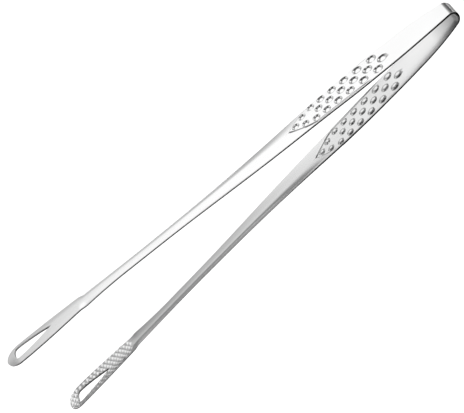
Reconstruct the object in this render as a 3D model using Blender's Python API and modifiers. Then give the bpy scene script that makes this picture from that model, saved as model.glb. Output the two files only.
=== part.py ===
# Hairpin kitchen tongs pressed from one strip of stainless steel: a spring bow and two mirrored arms.
# The strip is described along its middle line. "Along" is measured from the tip of the bow to the tip
# of an arm, "across" is the distance from the middle line, and "out" points away from the other arm.
# World frame: the bow points to +X, the tips to -X, and the lower arm rests on Z = 0 with the raised
# panel of its grip and the crest of its jaw.
import math

import bmesh
import bpy
from mathutils import Matrix, Vector

# Strip
strip_thickness = 0.0010
strip_half_length = 0.2720
edge_round = 0.00018

# Bow and shoulders, as radii and angles of the middle line
bow_radius = 0.0032
shoulder_length = 0.0210
shoulder_angle = math.radians(8.0)
arm_angle = math.radians(3.87)
hinge_along = 0.0130
seam_gap = 0.0003

# Outline: the bow flares into the grip, which tapers to a waist before the jaw
bow_half_width = 0.0052
grip_half_width = 0.0091
grip_widest_along = 0.0440
flare_start = 0.0015
flare_power = 3.0
waist_half_width = 0.00345
waist_to_jaw = 0.0380
waist_length = 0.0080
taper_power = 1.4

# Raised panel of the grip, which swells up from the plain sheet and ends as a pointed leaf
leaf_start_along = 0.0700
leaf_length = 0.0256
leaf_rise = 0.0005
panel_swell = 0.0180
panel_flat = 0.0090
leaf_crease = 0.0005
leaf_power = 2.2
leaf_edge_share = 0.90

# Gutter of the shank, which deepens from the leaf on and flattens out at the jaw
gutter_radius = 0.0095
gutter_deepening = 0.0900
gutter_flattening = 0.0045

# Jaw, dished like a shallow spoon, with a teardrop slot between two rails
jaw_length = 0.0460
jaw_half_width = 0.0071
jaw_radius = 0.0210
jaw_lift_length = 0.0500
tip_round_length = 0.0075
tip_dish_share = 0.65
rail_width = 0.00325
slot_tip_margin = 0.0055
slot_corner = 0.0022
slot_point_share = 0.37
slot_flare_share = 0.55

# Teeth on the inner face of the jaw
tooth_pitch = 0.0028
tooth_pitch_across = 0.0036
tooth_height = 0.00045
tooth_root = 0.0001
tooth_fill_share = 0.80
tooth_margin = 0.00025

# Dimples of the grip, whose rows draw together and get smaller towards the point of the leaf
dimple_rows = 7
dimple_field_length = 0.0416
dimple_end_gap = 0.0093
dimple_pitch_share = 0.932
dimple_column = 0.00517
dimple_radius = 0.0022
dimple_radius_share = 0.955
dimple_depth = 0.0005
dimple_boss = 0.00045
dimple_rim = 0.0001
dimple_lip = 0.00008
dimple_margin = 0.0007
dimple_last_gap = 0.0048

# How far a cutter or a raised form reaches past the face that it meets
overrun = 0.0003

# Facets
bow_step = 0.0006
shoulder_step = 0.0040
plain_step = 0.0100
leaf_step = 0.0030
tip_steps = 8
tip_last_angle = math.radians(84.0)
flank_columns = 1
panel_columns = 2
panel_edge_share = 0.5
slot_steps = 8
slot_corner_steps = 4
dimple_segments = 10
dimple_rings = 4
rounded_angle = math.radians(60.0)
sharp_angle = math.radians(30.0)

steel_colour = (0.79, 0.79, 0.78, 1.0)
steel_roughness = 0.16


def eased(share):
    share = min(1.0, max(0.0, share))
    return share * share * (3 - 2 * share)


def ramp(value, start, end):
    return eased((value - start) / (end - start))


# Middle line of one half of the strip

bow_arc_length = bow_radius * (math.pi / 2 - shoulder_angle)
shoulder_end_along = bow_arc_length + shoulder_length
shoulder_radius = shoulder_length / (shoulder_angle - arm_angle)


def heading(along):
    """Angle between the strip and the middle plane of the tongs."""
    if along < bow_arc_length:
        return math.pi / 2 - along / bow_radius
    if along < shoulder_end_along:
        return shoulder_angle - (along - bow_arc_length) / shoulder_radius
    return arm_angle


def middle_line(along):
    """Distance from the tip of the bow, and from the middle plane."""
    turned = heading(along)
    if along < bow_arc_length:
        return Vector((bow_radius * (1 - math.sin(turned)), bow_radius * math.cos(turned)))
    bow_end = Vector((bow_radius * (1 - math.sin(shoulder_angle)), bow_radius * math.cos(shoulder_angle)))
    shoulder = shoulder_radius * Vector(
        (math.sin(shoulder_angle) - math.sin(turned), math.cos(turned) - math.cos(shoulder_angle))
    )
    if along < shoulder_end_along:
        return bow_end + shoulder
    straight = (along - shoulder_end_along) * Vector((math.cos(arm_angle), math.sin(arm_angle)))
    return bow_end + shoulder + straight


def strip_point(along, across, out):
    """A point of the upper half: the bow points to +X and the middle plane is Z = 0."""
    turned = heading(along)
    distance, height = middle_line(along) + out * Vector((-math.sin(turned), math.cos(turned)))
    return Vector((-distance, across, height))


# Places along the strip, from the leaf to the tip

leaf_tip_along = leaf_start_along + leaf_length
gutter_full_along = leaf_start_along + gutter_deepening
jaw_along = strip_half_length - jaw_length
gutter_end_along = jaw_along - gutter_flattening
waist_along = jaw_along - waist_to_jaw
waist_end_along = waist_along + waist_length
panel_full_along = leaf_start_along - panel_flat
slot_point_along = jaw_along + slot_point_share * jaw_length
slot_end_along = strip_half_length - slot_tip_margin
slot_half_width = jaw_half_width - rail_width
tip_round_along = strip_half_length - tip_round_length
tip_along = tip_round_along + tip_round_length * math.sin(tip_last_angle)

# The crest of the jaw comes level with the raised panel
jaw_lift = leaf_rise


# Outline and pressed forms

def half_width(along):
    if along < grip_widest_along:
        reach = math.hypot(grip_widest_along, flare_start) - flare_start
        flared = (math.hypot(along, flare_start) - flare_start) / reach
        return grip_half_width - (grip_half_width - bow_half_width) * (1 - flared) ** flare_power
    if along < waist_along:
        share = (along - grip_widest_along) / (waist_along - grip_widest_along)
        taper = math.sin(share * math.pi / 2) ** taper_power
        return grip_half_width + (waist_half_width - grip_half_width) * taper
    widened = ramp(along, waist_end_along, tip_round_along)
    full = waist_half_width + (jaw_half_width - waist_half_width) * widened
    if along <= tip_round_along:
        return full
    return full * math.sqrt(max(0.0, 1 - ((along - tip_round_along) / tip_round_length) ** 2))


def leaf_half_width(along):
    """Half the width of the raised panel inside its crease. It falls below zero at the very point."""
    widest = leaf_edge_share * half_width(along)
    if along < leaf_start_along:
        return widest
    share = (along - leaf_start_along) / (leaf_tip_along - leaf_start_along)
    pointed = (half_width(leaf_start_along) + leaf_crease) * (1 - share**leaf_power) - leaf_crease
    return min(pointed, widest)


def gutter_curve(along):
    """How fast the section curves: the depth is this times the square of the distance across."""
    pressed = ramp(along, leaf_start_along, gutter_full_along)
    dished = ramp(along, gutter_end_along, jaw_along)
    return pressed * ((1 - dished) / gutter_radius + dished / jaw_radius) / 2


def out_of_plane(along, across):
    """How far the middle of the sheet lies from the straight line of the arm."""
    past_round = max(0.0, along - tip_round_along)
    lift = jaw_lift * ramp(along, jaw_along - jaw_lift_length, jaw_along)
    out = lift - gutter_curve(along) * (across**2 + tip_dish_share * past_round**2)
    if along < leaf_tip_along:
        beside = (abs(across) - leaf_half_width(along)) / leaf_crease
        out += leaf_rise * (1 - eased(beside)) * ramp(along, panel_full_along - panel_swell, panel_full_along)
    return out


def tilt_across(along, across):
    """The angle by which the section leans at a place."""
    return math.atan(2 * gutter_curve(along) * across)


def section_columns(along):
    """Places across the strip: plain flanks outside the crease, a panel inside it."""
    edge = half_width(along)
    if along < leaf_tip_along:
        inner = max(leaf_half_width(along), edge * (1 - leaf_edge_share))
    else:
        spread = ramp(along, leaf_tip_along, gutter_full_along)
        inner = edge * ((1 - leaf_edge_share) * (1 - spread) + panel_edge_share * spread)
    outer = min(inner + leaf_crease, (inner + edge) / 2)
    half = [inner * i / panel_columns for i in range(panel_columns + 1)]
    half += [outer + (edge - outer) * i / flank_columns for i in range(flank_columns + 1)]
    return [-across for across in reversed(half[1:])] + half


def spaced(start, end, step):
    count = max(1, round((end - start) / step))
    return [start + (end - start) * i / count for i in range(count)]


def arm_stations():
    stations = spaced(hinge_along + seam_gap / 2, grip_widest_along, shoulder_step)
    stations += spaced(grip_widest_along, leaf_start_along, plain_step)
    stations += spaced(leaf_start_along, leaf_tip_along, leaf_step)
    stations += spaced(leaf_tip_along, gutter_full_along, plain_step)
    stations += spaced(gutter_full_along, gutter_end_along, plain_step)
    stations += spaced(gutter_end_along, jaw_along, leaf_step)
    stations += spaced(jaw_along, tip_round_along, plain_step)
    angles = [tip_last_angle * i / tip_steps for i in range(tip_steps + 1)]
    return stations + [tip_round_along + tip_round_length * math.sin(angle) for angle in angles]


# Blender helpers

def mesh_object(name, bm, collection):
    mesh = bpy.data.meshes.new(name)
    bmesh.ops.recalc_face_normals(bm, faces=bm.faces)
    bm.to_mesh(mesh)
    bm.free()
    made = bpy.data.objects.new(name, mesh)
    collection.objects.link(made)
    return made


def as_cutter(made):
    made.display_type = "WIRE"
    made.hide_render = True
    return made


def sheet(rows):
    """An open surface over rows of points."""
    bm = bmesh.new()
    grid = [[bm.verts.new(point) for point in row] for row in rows]
    for before, after in zip(grid, grid[1:]):
        for i in range(len(before) - 1):
            bm.faces.new((before[i], before[i + 1], after[i + 1], after[i]))
    return bm


def thicken(made):
    solid = made.modifiers.new("thickness", "SOLIDIFY")
    solid.thickness = strip_thickness
    solid.offset = 0
    solid.use_even_offset = True
    bevel = made.modifiers.new("edges", "BEVEL")
    bevel.width = edge_round
    bevel.segments = 1
    bevel.limit_method = "ANGLE"
    bevel.angle_limit = rounded_angle


def join_or_cut(made, other, operation):
    change = made.modifiers.new(other.name, "BOOLEAN")
    change.operation = operation
    change.object = other
    change.solver = "EXACT"


def paint(made, name):
    material = bpy.data.materials.new(name)
    material.use_nodes = True
    shader = material.node_tree.nodes["Principled BSDF"]
    shader.inputs["Base Color"].default_value = steel_colour
    shader.inputs["Metallic"].default_value = 1.0
    shader.inputs["Roughness"].default_value = steel_roughness
    material.diffuse_color = steel_colour
    made.data.materials.append(material)


# Pieces

hinge_point = strip_point(hinge_along, 0, 0)


def spring_bow(collection):
    end_along = hinge_along - seam_gap / 2
    half = spaced(0, bow_arc_length, bow_step)
    half += spaced(bow_arc_length, end_along, shoulder_step) + [end_along]
    upper = [[strip_point(along, across, 0) for across in section_columns(along)] for along in half]
    lower = [[Vector((p.x, p.y, -p.z)) for p in row] for row in upper[:0:-1]]
    bow = mesh_object("spring_bow", sheet(lower + upper), collection)
    thicken(bow)
    paint(bow, "bow_steel")
    return bow


def dimple_places():
    """Centres and radii: two outer columns in step, and one in the middle, half a pitch ahead."""
    places = []
    along = leaf_tip_along - dimple_end_gap - dimple_field_length
    pitch = dimple_field_length * (1 - dimple_pitch_share) / (1 - dimple_pitch_share ** (dimple_rows - 1))
    radius = dimple_radius
    for row in range(dimple_rows):
        side = min(dimple_column, leaf_half_width(along) - radius - dimple_margin + leaf_crease)
        places += [(along, side, radius), (along, -side, radius)]
        ahead = along - pitch / dimple_pitch_share / 2
        if row < dimple_rows - 1:
            places.append((ahead, 0.0, radius))
        else:
            places.append((along + dimple_last_gap, 0.0, radius))
        along += pitch
        pitch *= dimple_pitch_share
        radius *= dimple_radius_share
    return places


def domes(depth, rim, beside_middle):
    """Ellipsoids whose middles lie beside one face of the arm."""
    bm = bmesh.new()
    for along, across, radius in dimple_places():
        turn = Matrix.Rotation(-heading(along), 4, "Y")
        middle_out = out_of_plane(along, across) + beside_middle
        place = Matrix.Translation(strip_point(along, across, middle_out) - hinge_point)
        size = Matrix.Diagonal((radius + rim, radius + rim, depth + dimple_lip, 1))
        bmesh.ops.create_uvsphere(
            bm, u_segments=dimple_segments, v_segments=dimple_rings, radius=1, matrix=place @ turn @ size
        )
    return bm


def slot_half_width_at(along):
    """Half the width of the slot, which opens from its point and ends in two rounded corners."""
    corner_along = slot_end_along - slot_corner
    if not slot_point_along <= along <= slot_end_along:
        return 0.0
    if along < corner_along:
        opened = (along - slot_point_along) / (corner_along - slot_point_along)
        return slot_half_width * (1 - (1 - opened) ** (1 + slot_flare_share))
    rounded = (along - corner_along) / slot_corner
    return slot_half_width - slot_corner * (1 - math.sqrt(max(0.0, 1 - rounded**2)))


def prism(name, outline, collection):
    """A cutter through the whole jaw, over an outline of places (along, across)."""
    bm = bmesh.new()
    reach = strip_thickness + tooth_height + jaw_lift + overrun
    low = [bm.verts.new(strip_point(along, across, -reach) - hinge_point) for along, across in outline]
    high = [bm.verts.new(strip_point(along, across, reach) - hinge_point) for along, across in outline]
    bm.faces.new(low)
    bm.faces.new(high)
    for i in range(len(outline)):
        j = (i + 1) % len(outline)
        bm.faces.new((low[i], low[j], high[j], high[i]))
    return as_cutter(mesh_object(name, bm, collection))


def slot_cutter(name, wider, collection):
    """The slot, or what lies within a margin of it."""
    corner_along = slot_end_along - slot_corner
    stations = spaced(slot_point_along, corner_along, (corner_along - slot_point_along) / slot_steps)
    corners = [math.pi / 2 * i / slot_corner_steps for i in range(slot_corner_steps + 1)]
    stations += [corner_along + slot_corner * math.sin(angle) for angle in corners]
    side = [(along, slot_half_width_at(along) + wider) for along in stations]
    side[0] = (slot_point_along - wider, 0.0)
    side[-1] = (slot_end_along + wider, side[-1][1])
    outline = side + [(along, -across) for along, across in reversed(side[1:])]
    return prism(name, outline, collection)


def toothed_area(collection):
    """The jaw's outline, drawn in by the margin that stays free of teeth."""
    stations = spaced(jaw_along, tip_round_along, leaf_step)
    side = [(along, half_width(along) - tooth_margin) for along in stations]
    for i in range(tip_steps + 1):
        angle = tip_last_angle * i / tip_steps
        along = tip_round_along + (tip_round_length - tooth_margin) * math.sin(angle)
        side.append((along, (jaw_half_width - tooth_margin) * math.cos(angle)))
    outline = side + [(along, -across) for along, across in reversed(side)]
    return prism("toothed_area", outline, collection)


def tooth_places():
    """A diagonal grid over the jaw, whose borders cut the outer teeth."""
    places = []
    rows = math.ceil((strip_half_length - jaw_along) / (tooth_pitch / 2))
    columns = math.ceil(jaw_half_width / (tooth_pitch_across / 2))
    for row in range(1, rows):
        along = jaw_along + row * tooth_pitch / 2
        for column in range(-columns, columns + 1):
            across = abs(column) * tooth_pitch_across / 2
            outside = across > half_width(along) - tooth_margin
            in_slot = across < slot_half_width_at(along)
            if (row + column) % 2 == 0 and not outside and not in_slot:
                places.append((along, math.copysign(across, column)))
    return places


def teeth(collection):
    bm = bmesh.new()
    beside_middle = strip_thickness / 2 + (tooth_height - tooth_root) / 2
    for along, across in tooth_places():
        tilt = tilt_across(along, across)
        turn = Matrix.Rotation(-heading(along), 4, "Y") @ Matrix.Rotation(-tilt, 4, "X")
        seat = strip_point(along, across, out_of_plane(along, across)) - hinge_point
        place = Matrix.Translation(seat) @ turn @ Matrix.Translation((0, 0, -beside_middle))
        sunk = 1 + tooth_root / tooth_height
        half_along = tooth_pitch / 2 * tooth_fill_share * sunk
        half_across = tooth_pitch_across / 2 * tooth_fill_share * sunk
        shape = place @ Matrix.Diagonal((half_along, half_across, -(tooth_height + tooth_root), 1))
        bmesh.ops.create_cone(bm, cap_ends=True, segments=4, radius1=1, radius2=0, depth=1, matrix=shape)
    cut = mesh_object("teeth", bm, collection)
    join_or_cut(cut, toothed_area(collection), "INTERSECT")
    join_or_cut(cut, slot_cutter("toothless_rim", tooth_margin, collection), "DIFFERENCE")
    return as_cutter(cut)


def arm_mesh_object(name, collection, cutters):
    rows = []
    for along in arm_stations():
        places = [(across, out_of_plane(along, across)) for across in section_columns(along)]
        rows.append([strip_point(along, across, out) - hinge_point for across, out in places])
    arm = mesh_object(name, sheet(rows), collection)
    thicken(arm)
    bosses_out = dimple_lip - strip_thickness / 2
    hollows_out = dimple_lip + strip_thickness / 2
    bosses = as_cutter(mesh_object("dimple_bosses", domes(dimple_boss, dimple_rim, bosses_out), cutters))
    hollows = as_cutter(mesh_object("dimple_hollows", domes(dimple_depth, 0, hollows_out), cutters))
    join_or_cut(arm, bosses, "UNION")
    join_or_cut(arm, hollows, "DIFFERENCE")
    join_or_cut(arm, teeth(cutters), "UNION")
    join_or_cut(arm, slot_cutter("slot_cutter", 0.0, cutters), "DIFFERENCE")
    paint(arm, "arm_steel")
    return arm


def settle(made):
    """Applies an object's modifiers."""
    bpy.context.view_layer.update()
    graph = bpy.context.evaluated_depsgraph_get()
    mesh = bpy.data.meshes.new_from_object(made.evaluated_get(graph))
    made.modifiers.clear()
    made.data = mesh


def main():
    for old in list(bpy.data.objects):
        bpy.data.objects.remove(old, do_unlink=True)
    tongs = bpy.data.collections.new("kitchen_tongs")
    cutters = bpy.data.collections.new("cutters")
    bpy.context.scene.collection.children.link(tongs)
    bpy.context.scene.collection.children.link(cutters)

    # The middle plane leans by the arm's angle, so that the lower arm lies level
    frame = bpy.data.objects.new("tongs_frame", None)
    tongs.objects.link(frame)
    lean = Matrix.Rotation(arm_angle, 4, "Y")
    lower_tip = strip_point(tip_along, 0, 0)
    lower_tip.z = -lower_tip.z
    lower_tip = lean @ lower_tip
    dish_slope = 2 * gutter_curve(tip_along) * tip_dish_share * (tip_along - tip_round_along)
    lower_tip.x -= strip_thickness / 2 * math.sin(math.atan(dish_slope))
    bow_end = (lean @ Vector((-bow_radius, 0, 0))).x + bow_radius + strip_thickness / 2
    lift = Vector((-(bow_end + lower_tip.x) / 2, 0, strip_thickness / 2 + leaf_rise - lower_tip.z))
    frame.matrix_world = Matrix.Translation(lift) @ lean

    bow = spring_bow(tongs)
    upper = arm_mesh_object("upper_arm", tongs, cutters)
    settle(upper)
    lower = upper.copy()
    lower.data = upper.data.copy()
    lower.data.materials.clear()
    lower.name = "lower_arm"
    tongs.objects.link(lower)
    paint(lower, "lower_arm_steel")
    upper.location = hinge_point
    lower.location = (hinge_point.x, 0, -hinge_point.z)
    lower.rotation_euler.x = math.pi
    for piece in (bow, upper, lower):
        piece.parent = frame
        piece.data.shade_smooth()
        piece.data.set_sharp_from_angle(angle=sharp_angle)


main()
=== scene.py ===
import math

import bmesh
import bpy
from mathutils import Euler, Matrix, Vector


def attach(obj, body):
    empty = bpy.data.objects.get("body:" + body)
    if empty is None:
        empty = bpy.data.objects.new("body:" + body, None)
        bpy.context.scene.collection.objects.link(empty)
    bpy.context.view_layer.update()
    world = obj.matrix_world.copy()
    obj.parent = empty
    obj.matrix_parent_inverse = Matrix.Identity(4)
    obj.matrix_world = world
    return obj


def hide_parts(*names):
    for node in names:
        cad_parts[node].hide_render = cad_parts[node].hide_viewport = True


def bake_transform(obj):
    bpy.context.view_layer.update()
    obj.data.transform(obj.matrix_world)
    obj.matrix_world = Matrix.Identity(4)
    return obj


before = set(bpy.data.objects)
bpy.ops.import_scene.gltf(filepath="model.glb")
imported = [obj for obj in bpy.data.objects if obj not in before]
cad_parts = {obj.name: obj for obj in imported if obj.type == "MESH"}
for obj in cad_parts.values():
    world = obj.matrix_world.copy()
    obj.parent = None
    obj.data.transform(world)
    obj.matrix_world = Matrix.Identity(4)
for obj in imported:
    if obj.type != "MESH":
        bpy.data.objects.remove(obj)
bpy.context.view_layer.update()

# Pressed stainless tongs, made from one strip. "along" runs from the middle of the bow to the tip
# of an arm, "across" from the middle of the strip to its edge, "out" away from the other arm.
# Lengths are in metres.

stripShape = {
    "thickness": 0.0010,
    "halfLength": 0.2720,
    "edgeRound": 0.00022,      # radius of the deburred edges
    "edgeSteps": 3,            # facets on a quarter of that radius
    "bowRadius": 0.0032,
    "shoulderLength": 0.0210,
    "shoulderAngle": 8.0,      # degrees
    "armAngle": 3.87,          # degrees
    "bendEndAlong": 0.0240,    # up to here the real strip bends when the arms are squeezed; the script only works out this point and does not use it
}

outlineShape = {
    "bowHalfWidth": 0.0052,
    "gripHalfWidth": 0.0091,
    "gripWidestAlong": 0.0560,
    "flareStart": 0.0015,      # the sides leave the bow gently over about this length
    "flarePower": 3.4,
    "waistHalfWidth": 0.00345,
    "waistAlong": 0.1880,
    "waistEndAlong": 0.1960,
    "taperPower": 1.4,
    "jawHalfWidth": 0.0071,
    "tipRoundLength": 0.0075,
    "tipLastAngle": 84.0,      # degrees round the end, where the solid's tip stops
}

# the raised panel swells up from the plain sheet and ends as a pointed leaf
leafShape = {
    "swellAlong": 0.0430,
    "fullAlong": 0.0610,
    "startAlong": 0.0700,
    "tipAlong": 0.0956,
    "rise": 0.0005,
    "crease": 0.0005,
    "power": 2.2,
    "edgeShare": 0.90,         # share of the half width that the panel takes up along the grip
}

gutterShape = {
    "radius": 0.0095,
    "fullAlong": 0.1600,
    "endAlong": 0.2215,
    "jawAlong": 0.2260,
    "jawRadius": 0.0210,       # the jaws stay dished like a shallow spoon
    "jawLift": 0.0005,
    "liftAlong": 0.1760,
    "tipDishShare": 0.65,      # how much of that dish the very tip turns in with
}

slotShape = {
    "pointAlong": 0.2430,
    "cornerAlong": 0.2643,
    "endAlong": 0.2665,
    "halfWidth": 0.00385,
    "flare": 1.55,
    "endPower": 2.7,           # 2 is an ellipse, more is squarer
    "roundFadeLength": 0.0015,
    "tipClearance": 0.00033,   # sheet left between the slot's last section and the next one
}

meshSteps = {
    "panelColumns": 30,
    "creaseColumns": 5,
    "flankColumns": 6,
    "leastPanelShare": 0.12,   # share of the half width that the panel's columns keep at the leaf's tip
    "mostCreaseShare": 0.44,
    "shankPanelShare": 0.74,   # the same columns further on, where there is no crease
    "shankCreaseShare": 0.84,
    "bowStep": 0.00022,
    "shoulderStep": 0.0010,
    "gripAlong": 0.0385,       # from here to the leaf's tip the stations lie close together
    "gripStep": 0.00030,
    "shankStep": 0.0024,
    "jawStep": 0.0010,
    "tipSteps": 16,
    "slotEndSteps": 12,
    "slopeReach": 0.00002,     # half the distance that a slope is taken over
    "mergeDistance": 1e-7,
    "leastEdge": 1e-8,
    "sharpAngle": 38.0,        # degrees
}


def eased(share):
    share = min(1.0, max(0.0, share))
    return share * share * (3 - 2 * share)


def ramp(value, start, end):
    return eased((value - start) / (end - start))


def spaced(start, end, step):
    count = max(1, math.ceil((end - start) / step))
    return [start + (end - start) * i / count for i in range(count)]


# Outline and pressed forms

def halfWidth(along):
    shape = outlineShape
    grip, waist = shape["gripHalfWidth"], shape["waistHalfWidth"]
    if along < shape["gripWidestAlong"]:
        reach = math.hypot(shape["gripWidestAlong"], shape["flareStart"]) - shape["flareStart"]
        flared = (math.hypot(along, shape["flareStart"]) - shape["flareStart"]) / reach
        return grip - (grip - shape["bowHalfWidth"]) * (1 - flared) ** shape["flarePower"]
    if along < shape["waistAlong"]:
        share = (along - shape["gripWidestAlong"]) / (shape["waistAlong"] - shape["gripWidestAlong"])
        return grip + (waist - grip) * math.sin(share * math.pi / 2) ** shape["taperPower"]
    return waist + (shape["jawHalfWidth"] - waist) * ramp(along, shape["waistEndAlong"], tipRoundAlong)


def leafHalfWidth(along):
    # Up to the inner side of the crease, so that it falls below zero at the very point
    leaf = leafShape
    widest = leaf["edgeShare"] * halfWidth(along)
    if along < leaf["startAlong"]:
        return widest
    share = (along - leaf["startAlong"]) / (leaf["tipAlong"] - leaf["startAlong"])
    fullWidth = halfWidth(leaf["startAlong"]) + leaf["crease"]
    pointed = fullWidth * (1 - share ** leaf["power"]) - leaf["crease"]
    return min(pointed, widest)


def gutterCurve(along):
    gutter = gutterShape
    pressed = ramp(along, leafShape["startAlong"], gutter["fullAlong"])
    dished = ramp(along, gutter["endAlong"], gutter["jawAlong"])
    return pressed * ((1 - dished) / gutter["radius"] + dished / gutter["jawRadius"]) / 2


def gutterOut(along, across):
    gutter = gutterShape
    pastRound = max(0.0, along - tipRoundAlong)
    lift = gutter["jawLift"] * ramp(along, gutter["liftAlong"], gutter["jawAlong"])
    return lift - gutterCurve(along) * (across**2 + gutter["tipDishShare"] * pastRound**2)


def outOfPlane(along, across):
    leaf = leafShape
    out = gutterOut(along, across)
    if leaf["swellAlong"] < along < leaf["tipAlong"]:
        beside = (abs(across) - leafHalfWidth(along)) / leaf["crease"]
        out += leaf["rise"] * (1 - eased(beside)) * ramp(along, leaf["swellAlong"], leaf["fullAlong"])
    return out


# Middle line of the strip

thickness = stripShape["thickness"]
shoulderAngle = math.radians(stripShape["shoulderAngle"])
armAngle = math.radians(stripShape["armAngle"])
bowRadius = stripShape["bowRadius"]
bowArcLength = bowRadius * (math.pi / 2 - shoulderAngle)
shoulderEndAlong = bowArcLength + stripShape["shoulderLength"]
shoulderRadius = stripShape["shoulderLength"] / (shoulderAngle - armAngle)
tipRoundAlong = stripShape["halfLength"] - outlineShape["tipRoundLength"]


def heading(along):
    if along < bowArcLength:
        return math.pi / 2 - along / bowRadius
    if along < shoulderEndAlong:
        return shoulderAngle - (along - bowArcLength) / shoulderRadius
    return armAngle


def middleLine(along):
    turned = heading(along)
    if along < bowArcLength:
        return Vector((bowRadius * (1 - math.sin(turned)), bowRadius * math.cos(turned)))
    start = Vector((bowRadius * (1 - math.sin(shoulderAngle)), bowRadius * math.cos(shoulderAngle)))
    start += shoulderRadius * Vector(
        (math.sin(shoulderAngle) - math.sin(turned), math.cos(turned) - math.cos(shoulderAngle))
    )
    straight = max(0.0, along - shoulderEndAlong)
    return start + straight * Vector((math.cos(armAngle), math.sin(armAngle)))


def stripPoint(along, across, out, side):
    # side is 1 for the upper half of the strip and -1 for the lower half
    turned = heading(along)
    distance, height = middleLine(along) + out * Vector((-math.sin(turned), math.cos(turned)))
    return toWorld @ Vector((-distance, across, side * height))


def tongsPlace():
    # The lower arm lies flat, so the middle plane leans by the arm's angle
    lean = Matrix.Rotation(armAngle, 4, "Y")
    pastRound = outlineShape["tipRoundLength"] * math.sin(math.radians(outlineShape["tipLastAngle"]))
    tipDistance, tipHeight = middleLine(tipRoundAlong + pastRound)
    lowTip = lean @ Vector((-tipDistance, 0, -tipHeight))
    dishSlope = 2 * gutterCurve(tipRoundAlong + pastRound) * gutterShape["tipDishShare"] * pastRound
    lowTip.x -= thickness / 2 * math.sin(math.atan(dishSlope))
    bowEnd = (lean @ Vector((-bowRadius, 0, 0))).x + bowRadius + thickness / 2
    lift = thickness / 2 + leafShape["rise"] - lowTip.z
    return Matrix.Translation((-(bowEnd + lowTip.x) / 2, 0, lift)) @ lean


toWorld = tongsPlace()


def slotHalfWidth(along):
    slot = slotShape
    if along <= slot["pointAlong"] or along >= slot["endAlong"]:
        return 0.0
    if along < slot["cornerAlong"]:
        opened = (along - slot["pointAlong"]) / (slot["cornerAlong"] - slot["pointAlong"])
        return slot["halfWidth"] * (1 - (1 - opened) ** slot["flare"])
    rounded = (along - slot["cornerAlong"]) / (slot["endAlong"] - slot["cornerAlong"])
    return slot["halfWidth"] * (1 - rounded ** slot["endPower"]) ** (1 / slot["endPower"])


# A station is one section of the strip: its place, and for the outer edge and the slot's edge
# half the width there and the direction that the edge faces, along and across

def slopeOf(width, along):
    reach = meshSteps["slopeReach"]
    return (width(along + reach) - width(along - reach)) / (2 * reach)


def facing(along, across):
    length = math.hypot(along, across)
    return (along / length, across / length)


def plainStation(along):
    edge = (halfWidth(along), facing(-slopeOf(halfWidth, along), 1.0))
    return {"along": along, "edge": edge, "slot": None}


def slotStation(along, width, direction):
    station = plainStation(along)
    faded = ramp(along, slotShape["pointAlong"], slotShape["pointAlong"] + slotShape["roundFadeLength"])
    rounding = stripShape["edgeRound"] * faded
    station["slot"] = (width, direction, rounding)
    return station


def tipStation(angle):
    full, length = halfWidth(tipRoundAlong), outlineShape["tipRoundLength"]
    along = tipRoundAlong + length * math.sin(angle)
    edge = (full * math.cos(angle), facing(math.sin(angle) / length, math.cos(angle) / full))
    return {"along": along, "edge": edge, "slot": None}


def slotStations():
    slot, steps = slotShape, meshSteps
    stations = []
    for along in spaced(slot["pointAlong"], slot["cornerAlong"], steps["jawStep"]):
        direction = facing(slopeOf(slotHalfWidth, along), -1.0)
        stations.append(slotStation(along, slotHalfWidth(along), direction))
    length, width, power = slot["endAlong"] - slot["cornerAlong"], slot["halfWidth"], slot["endPower"]
    for i in range(steps["slotEndSteps"] + 1):
        angle = math.pi / 2 * i / steps["slotEndSteps"]
        forward = math.sin(angle) ** (2 / power)
        sideways = math.cos(angle) ** (2 / power) if i < steps["slotEndSteps"] else 0.0
        direction = facing(-(forward ** (power - 1)) / length, -(sideways ** (power - 1)) / width)
        stations.append(slotStation(slot["cornerAlong"] + length * forward, width * sideways, direction))
    for station in stations:
        if station["along"] > tipRoundAlong:
            angle = math.asin((station["along"] - tipRoundAlong) / outlineShape["tipRoundLength"])
            station["edge"] = tipStation(angle)["edge"]
    return stations


def armStations():
    steps, leafTip, gutterEnd = meshSteps, leafShape["tipAlong"], gutterShape["endAlong"]
    places = spaced(bowArcLength, steps["gripAlong"], steps["shoulderStep"])
    places += spaced(steps["gripAlong"], leafTip, steps["gripStep"])
    places += spaced(leafTip, gutterEnd, steps["shankStep"])
    places += spaced(gutterEnd, slotShape["pointAlong"], steps["jawStep"] / 2)
    pastSlot = slotShape["endAlong"] + slotShape["tipClearance"]
    tips = [tipStation(math.pi / 2 * i / steps["tipSteps"]) for i in range(steps["tipSteps"] + 1)]
    tips = [tip for tip in tips if tip["along"] > pastSlot]
    return [plainStation(along) for along in places] + slotStations() + tips


def surfacePoint(along, across, face, side):
    # A point of the outer face (1), the middle (0) or the inner face (-1), and the way outwards there
    slopeAcross = -2 * gutterCurve(along) * across
    slopeAlong = slopeOf(lambda place: gutterOut(place, across), along)
    length = math.sqrt(1 + slopeAcross**2 + slopeAlong**2)
    middle = outOfPlane(along, across)

    def reached(distance):
        share = distance / length
        return stripPoint(along - share * slopeAlong, across - share * slopeAcross, middle + share, side)

    point = reached(face * thickness / 2)
    outward = (reached(thickness) - reached(0)).normalized()
    return point, outward


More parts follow.
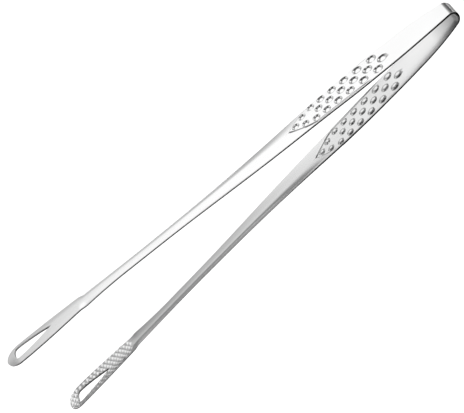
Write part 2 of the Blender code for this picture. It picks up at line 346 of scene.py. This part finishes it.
def rimPoints(along, across, direction, rounding, sign, side):
    # The rounded edge of the sheet, from the outer face round to the inner face
    middle, outward = surfacePoint(along, sign * across, 0, side)
    out = outOfPlane(along, across)
    here = stripPoint(along, sign * across, out, side)
    ahead = stripPoint(along + thickness, sign * across, out, side)
    forward = (ahead - here).normalized()
    sideways = outward.cross(forward)
    if sideways.y < 0:
        sideways.negate()
    sideways *= sign
    edgeward = forward * direction[0] + sideways * direction[1]
    points = []
    steps = stripShape["edgeSteps"]
    for quarter, middleHeight in ((0, 1), (1, -1)):
        for i in range(steps + 1):
            angle = (quarter + i / steps) * math.pi / 2
            height = middleHeight * (thickness / 2 - rounding) + rounding * math.cos(angle)
            point = middle + edgeward * rounding * (math.sin(angle) - 1) + outward * height
            polish = 1.0 if angle == 0 else 0.0
            points.append((point, outward, polish))
    return points


def columnShares(station):
    # Shares of the way from the slot (or the middle) to the edge, close together at the leaf's crease
    steps, crease = meshSteps, leafShape["crease"]
    along, edge = station["along"], station["edge"][0]
    least = steps["leastPanelShare"]
    if along < leafShape["tipAlong"]:
        inner = max(leafHalfWidth(along), least * edge)
        outer = min(inner + crease, (inner + edge) / 2)
        inner, outer = inner / edge, outer / edge
    else:
        spread = ramp(along, leafShape["tipAlong"], gutterShape["fullAlong"])
        inner = least + spread * (steps["shankPanelShare"] - least)
        start = least + min(crease / edge, steps["mostCreaseShare"])
        outer = start + spread * (steps["shankCreaseShare"] - start)
    panel, fold, flank = steps["panelColumns"], steps["creaseColumns"], steps["flankColumns"]
    shares = [inner * i / panel for i in range(panel)]
    shares += [inner + (outer - inner) * i / fold for i in range(fold)]
    shares += [outer + (1 - outer) * i / flank for i in range(flank + 1)]
    return shares


def halfSection(station, sign, side):
    # One half of a section as a loop: outer face, outer edge, inner face, and the slot's edge.
    # Each corner has its point, the way outwards, its polish, and its place on the strip.
    along, (edge, direction) = station["along"], station["edge"]
    rounding = stripShape["edgeRound"]
    rim = rimPoints(along, edge, direction, rounding, sign, side)
    slotRim, slotEdge = [], 0.0
    outerAlong, outerAcross = along - direction[0] * rounding, edge - direction[1] * rounding
    innerAlong, innerAcross = outerAlong, 0.0
    if station["slot"]:
        slotEdge, slotDirection, slotRounding = station["slot"]
        slotRim = rimPoints(along, slotEdge, slotDirection, slotRounding, sign, side)
        innerAlong = along - slotDirection[0] * slotRounding
        innerAcross = slotEdge - slotDirection[1] * slotRounding
    shares = columnShares(station)
    faces = {}
    for face in (1, -1):
        row = []
        for share in shares[:-1]:
            pointAlong = innerAlong + (outerAlong - innerAlong) * share
            pointAcross = sign * (innerAcross + (outerAcross - innerAcross) * share)
            point, outward = surfacePoint(pointAlong, pointAcross, face, side)
            polish = 1.0 if face > 0 else 0.0
            row.append((point, outward, polish, pointAlong, pointAcross))
        faces[face] = row
    outerPlace = (along, sign * edge)
    loop = faces[1] + [corner + outerPlace for corner in rim] + faces[-1][::-1]
    if slotRim:
        innerPlace = (along, sign * slotEdge)
        loop[0] = slotRim[0] + innerPlace
        loop[-1] = slotRim[-1] + innerPlace
        loop += [corner + innerPlace for corner in slotRim[::-1][1:-1]]
    return loop


def linked(name, data):
    made = bpy.data.objects.new(name, data)
    bpy.context.scene.collection.objects.link(made)
    return made


def objectFrom(bm, name):
    mesh = bpy.data.meshes.new(name)
    bm.to_mesh(mesh)
    bm.free()
    return linked(name, mesh)


def stripMesh(name, sections):
    # A section is a pair of half loops. Beside the slot each half closes by itself, and elsewhere
    # the two meet in the middle of the strip.
    bm = bmesh.new()
    outwardLayer = bm.verts.layers.float_vector.new("outward")
    placeLayer = bm.verts.layers.float_vector.new("stripPlace")
    polishLayer = bm.verts.layers.float.new("outerPolish")

    def vert(point, outward, polish, along, across):
        made = bm.verts.new(point)
        made[outwardLayer] = outward
        made[placeLayer] = (along, across, 0)
        made[polishLayer] = polish
        return made

    rows = [[[vert(*corner) for corner in half] for half in section] for section in sections]
    for before, after in zip(rows, rows[1:]):
        for halfBefore, halfAfter in zip(before, after):
            shorter = min(len(halfBefore), len(halfAfter))
            closed = shorter > plainLength
            for i in range(shorter if closed else shorter - 1):
                j = (i + 1) % shorter
                bm.faces.new((halfBefore[i], halfBefore[j], halfAfter[j], halfAfter[i]))
    bmesh.ops.remove_doubles(bm, verts=bm.verts, dist=meshSteps["mergeDistance"])
    bmesh.ops.dissolve_degenerate(bm, edges=bm.edges, dist=meshSteps["leastEdge"])
    bmesh.ops.holes_fill(bm, edges=[edge for edge in bm.edges if edge.is_boundary], sides=0)
    bmesh.ops.recalc_face_normals(bm, faces=bm.faces)
    return objectFrom(bm, name)


# How many corners a half loop has where there is no slot
plainLength = len(halfSection(plainStation(gutterShape["fullAlong"]), 1, 1))


def bothHalves(station, side):
    return [halfSection(station, sign, side) for sign in (1, -1)]


def armSections(side):
    return [bothHalves(station, side) for station in armStations()]


def bowSections():
    places = spaced(0, bowArcLength, meshSteps["bowStep"]) + [bowArcLength]
    stations = [plainStation(along) for along in places]
    lower = [bothHalves(station, -1) for station in reversed(stations[1:])]
    upper = [bothHalves(station, 1) for station in stations]
    return lower + upper


def settled(made):
    # Turns what the modifiers make into a plain mesh
    bpy.context.view_layer.update()
    graph = bpy.context.evaluated_depsgraph_get()
    mesh = bpy.data.meshes.new_from_object(made.evaluated_get(graph))
    made.modifiers.clear()
    made.data = mesh
    return made


def smoothed(made):
    made.data.shade_smooth()
    made.data.set_sharp_from_angle(angle=math.radians(meshSteps["sharpAngle"]))
    return made


def reportMesh(made):
    bm = bmesh.new()
    bm.from_mesh(made.data)
    loose = sum(1 for edge in bm.edges if len(edge.link_faces) != 2)
    triangles = sum(len(face.verts) - 2 for face in bm.faces)
    bm.free()
    print(f"{made.name}: {triangles} triangles, {loose} open edges")


# Steel

steelFinish = {
    "outerColour": (0.97, 0.97, 0.97),
    "innerColour": (0.87, 0.87, 0.87),
    "outerRoughness": 0.13,
    "innerRoughness": 0.17,
    "foldPaintedShade": 0.36,         # painted shade that darkens the inner face in the fold of the bow
    "foldPaintedShadePlace": (0.119, 0.133),       # along X, where the inner face turns to that painted shade
    "smudgeShade": 0.96,       # how much of the colour is left in a smudge
    "smudgeRoughness": 0.05,
    "smudgeScale": 60.0,
    "smudgeDetail": 4.0,
    "grainAlong": 40.0,        # the fine polishing lines, per metre along the arm and across it
    "grainAcross": 3000.0,
    "grainDetail": 3.0,
    "grainBump": 0.02,
    "grainDepth": 0.0001,
}


def link(tree, fromSocket, toSocket):
    tree.links.new(fromSocket, toSocket)


def mathNode(tree, operation, *values):
    node = tree.nodes.new("ShaderNodeMath")
    node.operation = operation
    for socket, value in zip(node.inputs, values):
        if isinstance(value, (int, float)):
            socket.default_value = value
        else:
            link(tree, value, socket)
    return node.outputs["Value"]


def mixNode(tree, kind, factor, low, high):
    # low and high are values, or sockets
    node = tree.nodes.new("ShaderNodeMix")
    node.data_type = kind
    sockets = [socket for socket in node.inputs if socket.enabled]
    for socket, value in zip(sockets, (factor, low, high)):
        if isinstance(value, bpy.types.NodeSocket):
            link(tree, value, socket)
        else:
            socket.default_value = value
    return next(socket for socket in node.outputs if socket.enabled)


def scaledVector(tree, vector, factor):
    node = tree.nodes.new("ShaderNodeVectorMath")
    node.operation = "SCALE"
    link(tree, vector, node.inputs[0])
    link(tree, factor, node.inputs["Scale"])
    return node.outputs["Vector"]


def noiseNode(tree, vector, scale, detail):
    node = tree.nodes.new("ShaderNodeTexNoise")
    node.inputs["Scale"].default_value = scale
    node.inputs["Detail"].default_value = detail
    link(tree, vector, node.inputs["Vector"])
    return node.outputs["Fac"]


def newMaterial(name):
    # A material that is still empty, its tree, and the socket that its shader goes into
    material = bpy.data.materials.new(name)
    material.use_nodes = True
    tree = material.node_tree
    tree.nodes.clear()
    return material, tree, tree.nodes.new("ShaderNodeOutputMaterial").inputs["Surface"]


def steelColour(tree, place, polish, smudge):
    # The inner face is a little darker than the polished outer one, and darkest in the fold of the bow,
    # where shade is painted in
    finish = steelFinish
    split = tree.nodes.new("ShaderNodeSeparateXYZ")
    link(tree, place, split.inputs["Vector"])
    # painted shade: the inner face darkens towards the fold of the bow
    fold = tree.nodes.new("ShaderNodeMapRange")
    fold.inputs["From Min"].default_value, fold.inputs["From Max"].default_value = finish["foldPaintedShadePlace"]
    link(tree, split.outputs["X"], fold.inputs["Value"])
    foldPaintedShadeColour = [channel * finish["foldPaintedShade"] for channel in finish["innerColour"]]
    inner = mixNode(tree, "RGBA", fold.outputs["Result"], (*finish["innerColour"], 1), (*foldPaintedShadeColour, 1))
    clean = mixNode(tree, "RGBA", polish, inner, (*finish["outerColour"], 1))
    worn = mathNode(tree, "MULTIPLY_ADD", smudge, finish["smudgeShade"] - 1, 1.0)
    return scaledVector(tree, clean, worn)


def polishingLines(tree, place, turn):
    # Fine lines along the arm, whose slope is the turn
    finish = steelFinish
    mapping = tree.nodes.new("ShaderNodeMapping")
    mapping.vector_type = "TEXTURE"
    mapping.inputs["Rotation"].default_value = (0, turn, 0)
    across = 1 / finish["grainAcross"]
    mapping.inputs["Scale"].default_value = (1 / finish["grainAlong"], across, across)
    link(tree, place, mapping.inputs["Vector"])
    bump = tree.nodes.new("ShaderNodeBump")
    bump.inputs["Strength"].default_value = finish["grainBump"]
    bump.inputs["Distance"].default_value = finish["grainDepth"]
    grain = noiseNode(tree, mapping.outputs["Vector"], 1.0, finish["grainDetail"])
    link(tree, grain, bump.inputs["Height"])
    return bump.outputs["Normal"]


def polishedSteel(name, turn):
    finish = steelFinish
    material, tree, surface = newMaterial(name)
    place = tree.nodes.new("ShaderNodeTexCoord").outputs["Object"]
    outerFace = tree.nodes.new("ShaderNodeAttribute")
    outerFace.attribute_name = "outerPolish"
    polish = outerFace.outputs["Fac"]
    smudge = noiseNode(tree, place, finish["smudgeScale"], finish["smudgeDetail"])
    clean = mixNode(tree, "FLOAT", polish, finish["innerRoughness"], finish["outerRoughness"])
    roughness = mathNode(tree, "MULTIPLY_ADD", smudge, finish["smudgeRoughness"], clean)
    steel = tree.nodes.new("ShaderNodeBsdfPrincipled")
    steel.inputs["Metallic"].default_value = 1.0
    link(tree, steelColour(tree, place, polish, smudge), steel.inputs["Base Color"])
    link(tree, roughness, steel.inputs["Roughness"])
    link(tree, polishingLines(tree, place, turn), steel.inputs["Normal"])
    link(tree, steel.outputs["BSDF"], surface)
    return material


# Dimples, pressed into the grip by Geometry Nodes

dimpleShape = {
    "rows": 7,
    "firstAlong": 0.0447,      # the row of two that is nearest to the bow
    "pitch": 0.0082,
    "pitchShare": 0.932,       # each row stands this much closer than the one before
    "column": 0.00517,
    "radius": 0.0025,
    "radiusShare": 0.955,
    "lastGap": 0.0048,         # from the last row to the single dimple in the leaf's point
    "margin": 0.0007,
    "depth": 0.00090,
    "innerDepth": 0.00074,
    "innerShare": 0.88,        # the bosses on the inner face are this much narrower
    "wallPower": 5.0,          # 2 is a plain cap, more has a flatter floor and steeper walls
    "rimSoftness": 0.08,
}

toothShape = {
    "pitchAlong": 0.0028,
    "pitchAcross": 0.0036,
    "height": 0.00045,
    "sunk": 0.00003,
    "fill": 0.94,              # share of the pitch that a tooth takes up
    "upperMargin": 0.00090,    # plain rim round the teeth of the upper arm
    "lowerMargin": 0.00020,
    "cutReach": 0.0030,        # how far the blocks that trim the teeth reach out of the sheet
}


def dimplePlaces():
    dimple = dimpleShape
    places = []
    along, pitch, radius = dimple["firstAlong"], dimple["pitch"], dimple["radius"]
    for row in range(dimple["rows"]):
        room = leafHalfWidth(along) - radius - dimple["margin"] + leafShape["crease"]
        beside = min(dimple["column"], room)
        places += [(along, beside, radius), (along, -beside, radius)]
        if row < dimple["rows"] - 1:
            places.append((along - pitch / dimple["pitchShare"] / 2, 0.0, radius))
        else:
            places.append((along + dimple["lastGap"], 0.0, radius))
        along += pitch
        pitch *= dimple["pitchShare"]
        radius *= dimple["radiusShare"]
    return places


def toothPlaces():
    # A diagonal grid over the jaw, whose borders cut the outer teeth
    pitchAlong, pitchAcross = toothShape["pitchAlong"], toothShape["pitchAcross"]
    start, end = gutterShape["jawAlong"], stripShape["halfLength"]
    columns = math.ceil(outlineShape["jawHalfWidth"] / (pitchAcross / 2))
    places = []
    for row in range(1, math.ceil((end - start) / (pitchAlong / 2))):
        along = start + row * pitchAlong / 2
        for column in range(-columns, columns + 1):
            across = abs(column) * pitchAcross / 2
            if (row + column) % 2 == 0 and slotHalfWidth(along) <= across <= halfWidth(along):
                places.append((along, math.copysign(across, column)))
    return places


def jawBorder(margin):
    # Half of the outline that the teeth stay within
    steps = meshSteps["tipSteps"]
    border = [
        (along, halfWidth(along) - margin)
        for along in spaced(gutterShape["jawAlong"], tipRoundAlong, meshSteps["jawStep"])
    ]
    for i in range(steps + 1):
        tip = tipStation(math.pi / 2 * i / steps)
        (edge, direction), along = tip["edge"], tip["along"]
        border.append((along - direction[0] * margin, max(0.0, edge - direction[1] * margin)))
    return border


def slotBorder(margin):
    # Half of the outline that the teeth stay out of
    border = [(slotShape["pointAlong"] - margin, 0.0)]
    for station in slotStations():
        width, direction, _ = station["slot"]
        border.append((station["along"] - direction[0] * margin, width - direction[1] * margin))
    return border


def blockObject(name, border, side):
    # A block through the sheet, over both halves of a border
    reach, least = toothShape["cutReach"], meshSteps["mergeDistance"]
    outline = border + [(along, -across) for along, across in reversed(border) if across > least]
    bm = bmesh.new()
    levels = []
    for out in (-reach, reach):
        levels.append([bm.verts.new(stripPoint(along, across, out, side)) for along, across in outline])
        bm.faces.new(levels[-1])
    low, high = levels
    for i in range(len(outline)):
        j = (i + 1) % len(outline)
        bm.faces.new((low[i], low[j], high[j], high[i]))
    bmesh.ops.recalc_face_normals(bm, faces=bm.faces)
    return objectFrom(bm, name)


def combined(made, other, operation):
    change = made.modifiers.new(other.name, "BOOLEAN")
    change.operation = operation
    change.solver = "MANIFOLD"
    change.object = other
    settled(made)
    bpy.data.objects.remove(other)
    return made


def newTree(name, inputs):
    tree = bpy.data.node_groups.new(name, "GeometryNodeTree")
    tree.interface.new_socket("Geometry", in_out="INPUT", socket_type="NodeSocketGeometry")
    for label, kind in inputs:
        tree.interface.new_socket(label, in_out="INPUT", socket_type=kind)
    tree.interface.new_socket("Geometry", in_out="OUTPUT", socket_type="NodeSocketGeometry")
    start = tree.nodes.new("NodeGroupInput")
    end = tree.nodes.new("NodeGroupOutput")
    return tree, start, end


def namedAttribute(tree, name, kind):
    node = tree.nodes.new("GeometryNodeInputNamedAttribute")
    node.data_type = kind
    node.inputs["Name"].default_value = name
    return node.outputs["Attribute"]


def finishTree(tree, start, end, geometry):
    realize = tree.nodes.new("GeometryNodeRealizeInstances")
    paint = tree.nodes.new("GeometryNodeSetMaterial")
    link(tree, geometry, realize.inputs["Geometry"])
    link(tree, realize.outputs["Geometry"], paint.inputs["Geometry"])
    link(tree, start.outputs["Steel"], paint.inputs["Material"])
    link(tree, paint.outputs["Geometry"], end.inputs["Geometry"])
    return tree


def sampledAt(tree, geometry, index, kind, value):
    node = tree.nodes.new("GeometryNodeSampleIndex")
    node.data_type = kind
    link(tree, geometry, node.inputs["Geometry"])
    link(tree, value, node.inputs["Value"])
    link(tree, index, node.inputs["Index"])
    return node.outputs["Value"]


def dimpleTree():
    # Each point of the sheet looks up the nearest dimple and moves inwards by a soft-rimmed cap
    tree, start, end = newTree("pressDimples", [
        ("Dimples", "NodeSocketObject"),
        ("Depth", "NodeSocketFloat"),
        ("Inner Depth", "NodeSocketFloat"),
        ("Wall Power", "NodeSocketFloat"),
        ("Rim Softness", "NodeSocketFloat"),
        ("Inner Share", "NodeSocketFloat"),
        ("Steel", "NodeSocketMaterial"),
    ])
    given = start.outputs
    info = tree.nodes.new("GeometryNodeObjectInfo")
    link(tree, given["Dimples"], info.inputs["Object"])
    dimples = info.outputs["Geometry"]
    place = namedAttribute(tree, "stripPlace", "FLOAT_VECTOR")
    nearest = tree.nodes.new("GeometryNodeSampleNearest")
    link(tree, dimples, nearest.inputs["Geometry"])
    link(tree, place, nearest.inputs["Sample Position"])
    index = nearest.outputs["Index"]
    position = tree.nodes.new("GeometryNodeInputPosition").outputs["Position"]
    centre = sampledAt(tree, dimples, index, "FLOAT_VECTOR", position)
    radius = sampledAt(tree, dimples, index, "FLOAT", namedAttribute(tree, "radius", "FLOAT"))
    distance = tree.nodes.new("ShaderNodeVectorMath")
    distance.operation = "DISTANCE"
    link(tree, place, distance.inputs[0])
    link(tree, centre, distance.inputs[1])
    outer = namedAttribute(tree, "outerPolish", "FLOAT")
    share = mathNode(tree, "DIVIDE", distance.outputs["Value"], radius)
    share = mathNode(tree, "DIVIDE", share, mixNode(tree, "FLOAT", outer, given["Inner Share"], 1.0))
    cap = mathNode(tree, "SUBTRACT", 1.0, mathNode(tree, "POWER", share, given["Wall Power"]))
    soft = mathNode(tree, "SMOOTH_MAX", cap, 0.0, given["Rim Softness"])
    depth = mixNode(tree, "FLOAT", outer, given["Inner Depth"], given["Depth"])
    inwards = mathNode(tree, "MULTIPLY", mathNode(tree, "MULTIPLY", soft, depth), -1.0)
    outward = namedAttribute(tree, "outward", "FLOAT_VECTOR")
    move = tree.nodes.new("GeometryNodeSetPosition")
    link(tree, given["Geometry"], move.inputs["Geometry"])
    link(tree, scaledVector(tree, outward, inwards), move.inputs["Offset"])
    return finishTree(tree, start, end, move.outputs["Geometry"])


def toothTree():
    # A pyramid on each point, its point away from the sheet and its ridges along the strip
    tree, start, end = newTree("cutTeeth", [
        ("Length", "NodeSocketFloat"), ("Width", "NodeSocketFloat"), ("Height", "NodeSocketFloat"),
        ("Steel", "NodeSocketMaterial"),
    ])
    pyramid = tree.nodes.new("GeometryNodeMeshCone")
    pyramid.inputs["Vertices"].default_value = 4
    pyramid.inputs["Radius Top"].default_value = 0.0
    pyramid.inputs["Radius Bottom"].default_value = 1.0
    pyramid.inputs["Depth"].default_value = 1.0
    stand = tree.nodes.new("FunctionNodeAlignRotationToVector")
    stand.axis = "Z"
    link(tree, namedAttribute(tree, "outward", "FLOAT_VECTOR"), stand.inputs["Vector"])
    turn = tree.nodes.new("FunctionNodeAlignRotationToVector")
    turn.axis = "X"
    turn.pivot_axis = "Z"
    link(tree, stand.outputs["Rotation"], turn.inputs["Rotation"])
    link(tree, namedAttribute(tree, "forward", "FLOAT_VECTOR"), turn.inputs["Vector"])
    # the pyramid is two units from corner to corner and one unit high
    size = tree.nodes.new("ShaderNodeCombineXYZ")
    link(tree, mathNode(tree, "MULTIPLY", start.outputs["Length"], 0.5), size.inputs["X"])
    link(tree, mathNode(tree, "MULTIPLY", start.outputs["Width"], 0.5), size.inputs["Y"])
    link(tree, start.outputs["Height"], size.inputs["Z"])
    place = tree.nodes.new("GeometryNodeInstanceOnPoints")
    link(tree, start.outputs["Geometry"], place.inputs["Points"])
    link(tree, pyramid.outputs["Mesh"], place.inputs["Instance"])
    link(tree, turn.outputs["Rotation"], place.inputs["Rotation"])
    link(tree, size.outputs["Vector"], place.inputs["Scale"])
    return finishTree(tree, start, end, place.outputs["Instances"])


def addNodes(made, tree, values):
    modifier = made.modifiers.new(tree.name, "NODES")
    modifier.node_group = tree
    for item in tree.interface.items_tree:
        if item.in_out == "INPUT" and item.name in values:
            modifier[item.identifier] = values[item.name]
    return modifier


def pointObject(name, points, attributes):
    mesh = bpy.data.meshes.new(name)
    mesh.from_pydata([tuple(point) for point in points], [], [])
    for label, (kind, values) in attributes.items():
        layer = mesh.attributes.new(label, kind, "POINT")
        if kind == "FLOAT_VECTOR":
            layer.data.foreach_set("vector", [number for vector in values for number in vector])
        else:
            layer.data.foreach_set("value", values)
    return linked(name, mesh)


dimpleNodes = dimpleTree()
toothNodes = toothTree()


def pressDimples(arm, steel):
    places = dimplePlaces()
    centres = [(along, across, 0) for along, across, radius in places]
    radii = [radius for along, across, radius in places]
    dimples = pointObject(arm.name + "Dimples", centres, {"radius": ("FLOAT", radii)})
    addNodes(arm, dimpleNodes, {
        "Dimples": dimples,
        "Depth": dimpleShape["depth"],
        "Inner Depth": dimpleShape["innerDepth"],
        "Wall Power": dimpleShape["wallPower"],
        "Rim Softness": dimpleShape["rimSoftness"],
        "Inner Share": dimpleShape["innerShare"],
        "Steel": steel,
    })
    settled(arm)
    bpy.data.objects.remove(dimples)


def cutTeeth(arm, side, steel):
    tooth = toothShape
    points, outwards, forwards = [], [], []
    for along, across in toothPlaces():
        point, outward = surfacePoint(along, across, -1, side)
        ahead, _ = surfacePoint(along + thickness, across, -1, side)
        points.append(point + outward * tooth["sunk"])
        outwards.append(-outward)
        forwards.append((ahead - point).normalized())
    teeth = pointObject(arm.name + "Teeth", points, {
        "outward": ("FLOAT_VECTOR", outwards),
        "forward": ("FLOAT_VECTOR", forwards),
    })
    addNodes(teeth, toothNodes, {
        "Length": tooth["pitchAlong"] * tooth["fill"],
        "Width": tooth["pitchAcross"] * tooth["fill"],
        "Height": tooth["height"] + tooth["sunk"],
        "Steel": steel,
    })
    settled(teeth)
    margin = tooth["upperMargin"] if side > 0 else tooth["lowerMargin"]
    combined(teeth, blockObject(arm.name + "JawBorder", jawBorder(margin), side), "INTERSECT")
    combined(teeth, blockObject(arm.name + "SlotBorder", slotBorder(margin), side), "DIFFERENCE")
    combined(arm, teeth, "UNION")


def pressedArm(name, side, steel):
    arm = stripMesh(name, armSections(side))
    pressDimples(arm, steel)
    cutTeeth(arm, side, steel)
    return smoothed(arm)


bowSteel = smoothed(stripMesh("bowSteel", bowSections()))
bowSteel.data.materials.append(polishedSteel("bowPolish", armAngle))
upperArmSteel = pressedArm("upperArmSteel", 1, polishedSteel("upperArmPolish", 2 * armAngle))
lowerArmSteel = pressedArm("lowerArmSteel", -1, polishedSteel("lowerArmPolish", 0.0))
for made in (bowSteel, upperArmSteel, lowerArmSteel):
    reportMesh(made)

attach(bowSteel, "bow")
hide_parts("spring_bow")
for arm, side, body, node in (
    (upperArmSteel, 1, "upper", "upper_arm"),
    (lowerArmSteel, -1, "lower", "lower_arm"),
):
    bendStart = stripPoint(bowArcLength, 0, 0, side)
    bendEnd = stripPoint(stripShape["bendEndAlong"], 0, 0, side)
    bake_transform(arm)
    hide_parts(node)
print("steel pieces ready")


# Studio

floorLook = {
    "size": 6.0,
    "drop": 0.0158,            # the lower arm swings this far down when the tongs are pulled open
    "colour": (0.9, 0.9, 0.9),
    "glow": 0.84,
}

# a card on the floor, dark below the tongs and greyer away from the camera, seen in the steel only
darkFlagLook = {
    "size": 0.9,
    "lift": 0.0003,
    "reach": (-0.1, 0.2),      # the stretch of the card that holds the greys
    "stops": (
        (-0.012, 0.0), (0.0, 0.12), (0.016, 0.34), (0.036, 0.42),
        (0.06, 0.28), (0.10, 0.28), (0.19, 0.42),
    ),
}

# a low grey card that stands on the far side, from past the tips to the grips, seen in the steel only
tipCardLook = {
    "size": 0.37,
    "height": 0.021,
    "place": (-0.085, 0.048, 0.0125),
    "reach": (-0.2, 0.2),
    "stops": ((-0.18, 0.25), (0.12, 0.25), (0.18, 0.40)),
}

skyLook = {
    "strength": 1.06,
    # light by the angle round the tongs, from the far horizon over the top to the camera's side
    "angleReach": (0, 180),
    "roundStops": (
        (0, 0.34), (8, 0.42), (16, 0.52), (22, 0.64), (27, 0.88), (31, 1.0), (70, 1.0),
        (82, 0.80), (90, 0.30), (98, 0.05), (118, 0.03), (130, 0.60), (152, 0.78), (180, 0.40),
    ),
    # the same past the tips, and how much of it shows, by how far a direction points along X
    "tipSideStops": (
        (0, 0.48), (8, 0.53), (22, 0.55), (37, 0.46), (52, 0.34), (67, 0.26),
        (85, 0.18), (95, 0.04), (118, 0.03), (135, 0.30), (180, 0.25),
    ),
    "shareReach": (-1, 1),
    "tipSideShares": (
        (-0.85, 0.0), (-0.70, 0.6), (-0.60, 1.0), (-0.45, 0.95), (-0.35, 0.88),
        (-0.28, 0.76), (-0.23, 0.58), (-0.17, 0.26), (-0.10, 0.0),
    ),
    # the same past the bow
    "bowSideStops": (
        (0, 0.04), (10, 0.08), (25, 0.16), (40, 0.30), (80, 0.36),
        (95, 0.04), (118, 0.03), (135, 0.30), (180, 0.25),
    ),
    "bowSideShares": (
        (0.20, 0.0), (0.27, 0.40), (0.34, 0.75), (0.42, 0.92),
        (0.50, 1.0), (0.65, 1.0), (0.85, 0.0),
    ),
}


def stagePlane(name, size, place, turn=(0, 0, 0)):
    bm = bmesh.new()
    bmesh.ops.create_grid(bm, x_segments=1, y_segments=1, size=size / 2)
    made = objectFrom(bm, name)
    made.location = place
    made.rotation_euler = turn
    return made


def whiteInView(name, colour, glow):
    # A lit pale surface that keeps shadows, lifted to white in view and in reflections
    material, tree, surface = newMaterial(name)
    path = tree.nodes.new("ShaderNodeLightPath")
    seen = mathNode(tree, "MAXIMUM", path.outputs["Is Camera Ray"], path.outputs["Is Glossy Ray"])
    seen = mathNode(tree, "MAXIMUM", seen, path.outputs["Is Transmission Ray"])
    white = tree.nodes.new("ShaderNodeEmission")
    white.inputs["Color"].default_value = (1, 1, 1, 1)
    link(tree, mathNode(tree, "MULTIPLY", seen, glow), white.inputs["Strength"])
    lit = tree.nodes.new("ShaderNodeBsdfDiffuse")
    lit.inputs["Color"].default_value = (*colour, 1)
    both = tree.nodes.new("ShaderNodeAddShader")
    link(tree, lit.outputs["BSDF"], both.inputs[0])
    link(tree, white.outputs["Emission"], both.inputs[1])
    link(tree, both.outputs["Shader"], surface)
    return material


def stopRamp(tree, value, stops, low, high):
    # A grey ramp whose stops are given on the scale of the value
    share = tree.nodes.new("ShaderNodeMapRange")
    share.inputs["From Min"].default_value = low
    share.inputs["From Max"].default_value = high
    link(tree, value, share.inputs["Value"])
    shade = tree.nodes.new("ShaderNodeValToRGB")
    elements = shade.color_ramp.elements
    while len(elements) < len(stops):
        elements.new(1.0)
    for element, (place, level) in zip(elements, stops):
        element.position = (place - low) / (high - low)
        element.color = (level, level, level, 1)
    link(tree, share.outputs["Result"], shade.inputs["Fac"])
    return shade.outputs["Color"]


def greyCard(name, look, place, turn, axis):
    # A card that only the steel's reflections show, its grey given along one of its axes
    card = stagePlane(name, look["size"], place, turn)
    material, tree, surface = newMaterial(name + "Paper")
    split = tree.nodes.new("ShaderNodeSeparateXYZ")
    link(tree, tree.nodes.new("ShaderNodeTexCoord").outputs["Object"], split.inputs["Vector"])
    glow = tree.nodes.new("ShaderNodeEmission")
    link(tree, stopRamp(tree, split.outputs[axis], look["stops"], *look["reach"]), glow.inputs["Color"])
    link(tree, glow.outputs["Emission"], surface)
    card.data.materials.append(material)
    card.visible_camera = False
    card.visible_diffuse = False
    card.visible_shadow = False
    card.visible_transmission = False
    return card


def studioWorld():
    world = bpy.data.worlds.new("studioWorld")
    world.use_nodes = True
    tree = world.node_tree
    tree.nodes.clear()
    split = tree.nodes.new("ShaderNodeSeparateXYZ")
    link(tree, tree.nodes.new("ShaderNodeTexCoord").outputs["Generated"], split.inputs["Vector"])
    turned = mathNode(tree, "ARCTAN2", split.outputs["Z"], split.outputs["Y"])
    angle = mathNode(tree, "DEGREES", turned)
    grey = stopRamp(tree, angle, skyLook["roundStops"], *skyLook["angleReach"])
    for end in ("tipSide", "bowSide"):
        endGrey = stopRamp(tree, angle, skyLook[end + "Stops"], *skyLook["angleReach"])
        share = stopRamp(tree, split.outputs["X"], skyLook[end + "Shares"], *skyLook["shareReach"])
        grey = mixNode(tree, "RGBA", share, grey, endGrey)
    light = tree.nodes.new("ShaderNodeBackground")
    light.inputs["Strength"].default_value = skyLook["strength"]
    link(tree, grey, light.inputs["Color"])
    white = tree.nodes.new("ShaderNodeBackground")
    white.inputs["Color"].default_value = (1, 1, 1, 1)
    inView = tree.nodes.new("ShaderNodeLightPath").outputs["Is Camera Ray"]
    choose = tree.nodes.new("ShaderNodeMixShader")
    link(tree, inView, choose.inputs["Fac"])
    link(tree, light.outputs["Background"], choose.inputs[1])
    link(tree, white.outputs["Background"], choose.inputs[2])
    output = tree.nodes.new("ShaderNodeOutputWorld")
    link(tree, choose.outputs["Shader"], output.inputs["Surface"])
    return world


floor = stagePlane("floor", floorLook["size"], (0, 0, -floorLook["drop"]))
floor.data.materials.append(whiteInView("floorPaper", floorLook["colour"], floorLook["glow"]))
flagHeight = darkFlagLook["lift"] - floorLook["drop"]
greyCard("darkFlag", darkFlagLook, (0, 0, flagHeight), (0, 0, 0), "Y")
tipCard = greyCard("tipCard", tipCardLook, tipCardLook["place"], (math.pi / 2, 0, 0), "X")
tipCard.scale.y = tipCardLook["height"] / tipCardLook["size"]
bpy.context.scene.world = studioWorld()
print("studio ready")


# Camera

cameraPlace = {
    "location": (0.15906, -0.56631, 0.36495),
    "turn": (44.8605, 43.9717, -19.0099),   # degrees
    "lens": 112.02,
    "sensor": 36.0,
    "clipStart": 0.01,
}

camera = linked("camera", bpy.data.cameras.new("camera"))
camera.location = cameraPlace["location"]
camera.rotation_euler = Euler([math.radians(degrees) for degrees in cameraPlace["turn"]])
camera.data.lens = cameraPlace["lens"]
camera.data.sensor_width = cameraPlace["sensor"]
camera.data.sensor_fit = "HORIZONTAL"
camera.data.clip_start = cameraPlace["clipStart"]
bpy.context.scene.camera = camera
bpy.context.scene.view_settings.view_transform = "Standard"
print("camera ready")
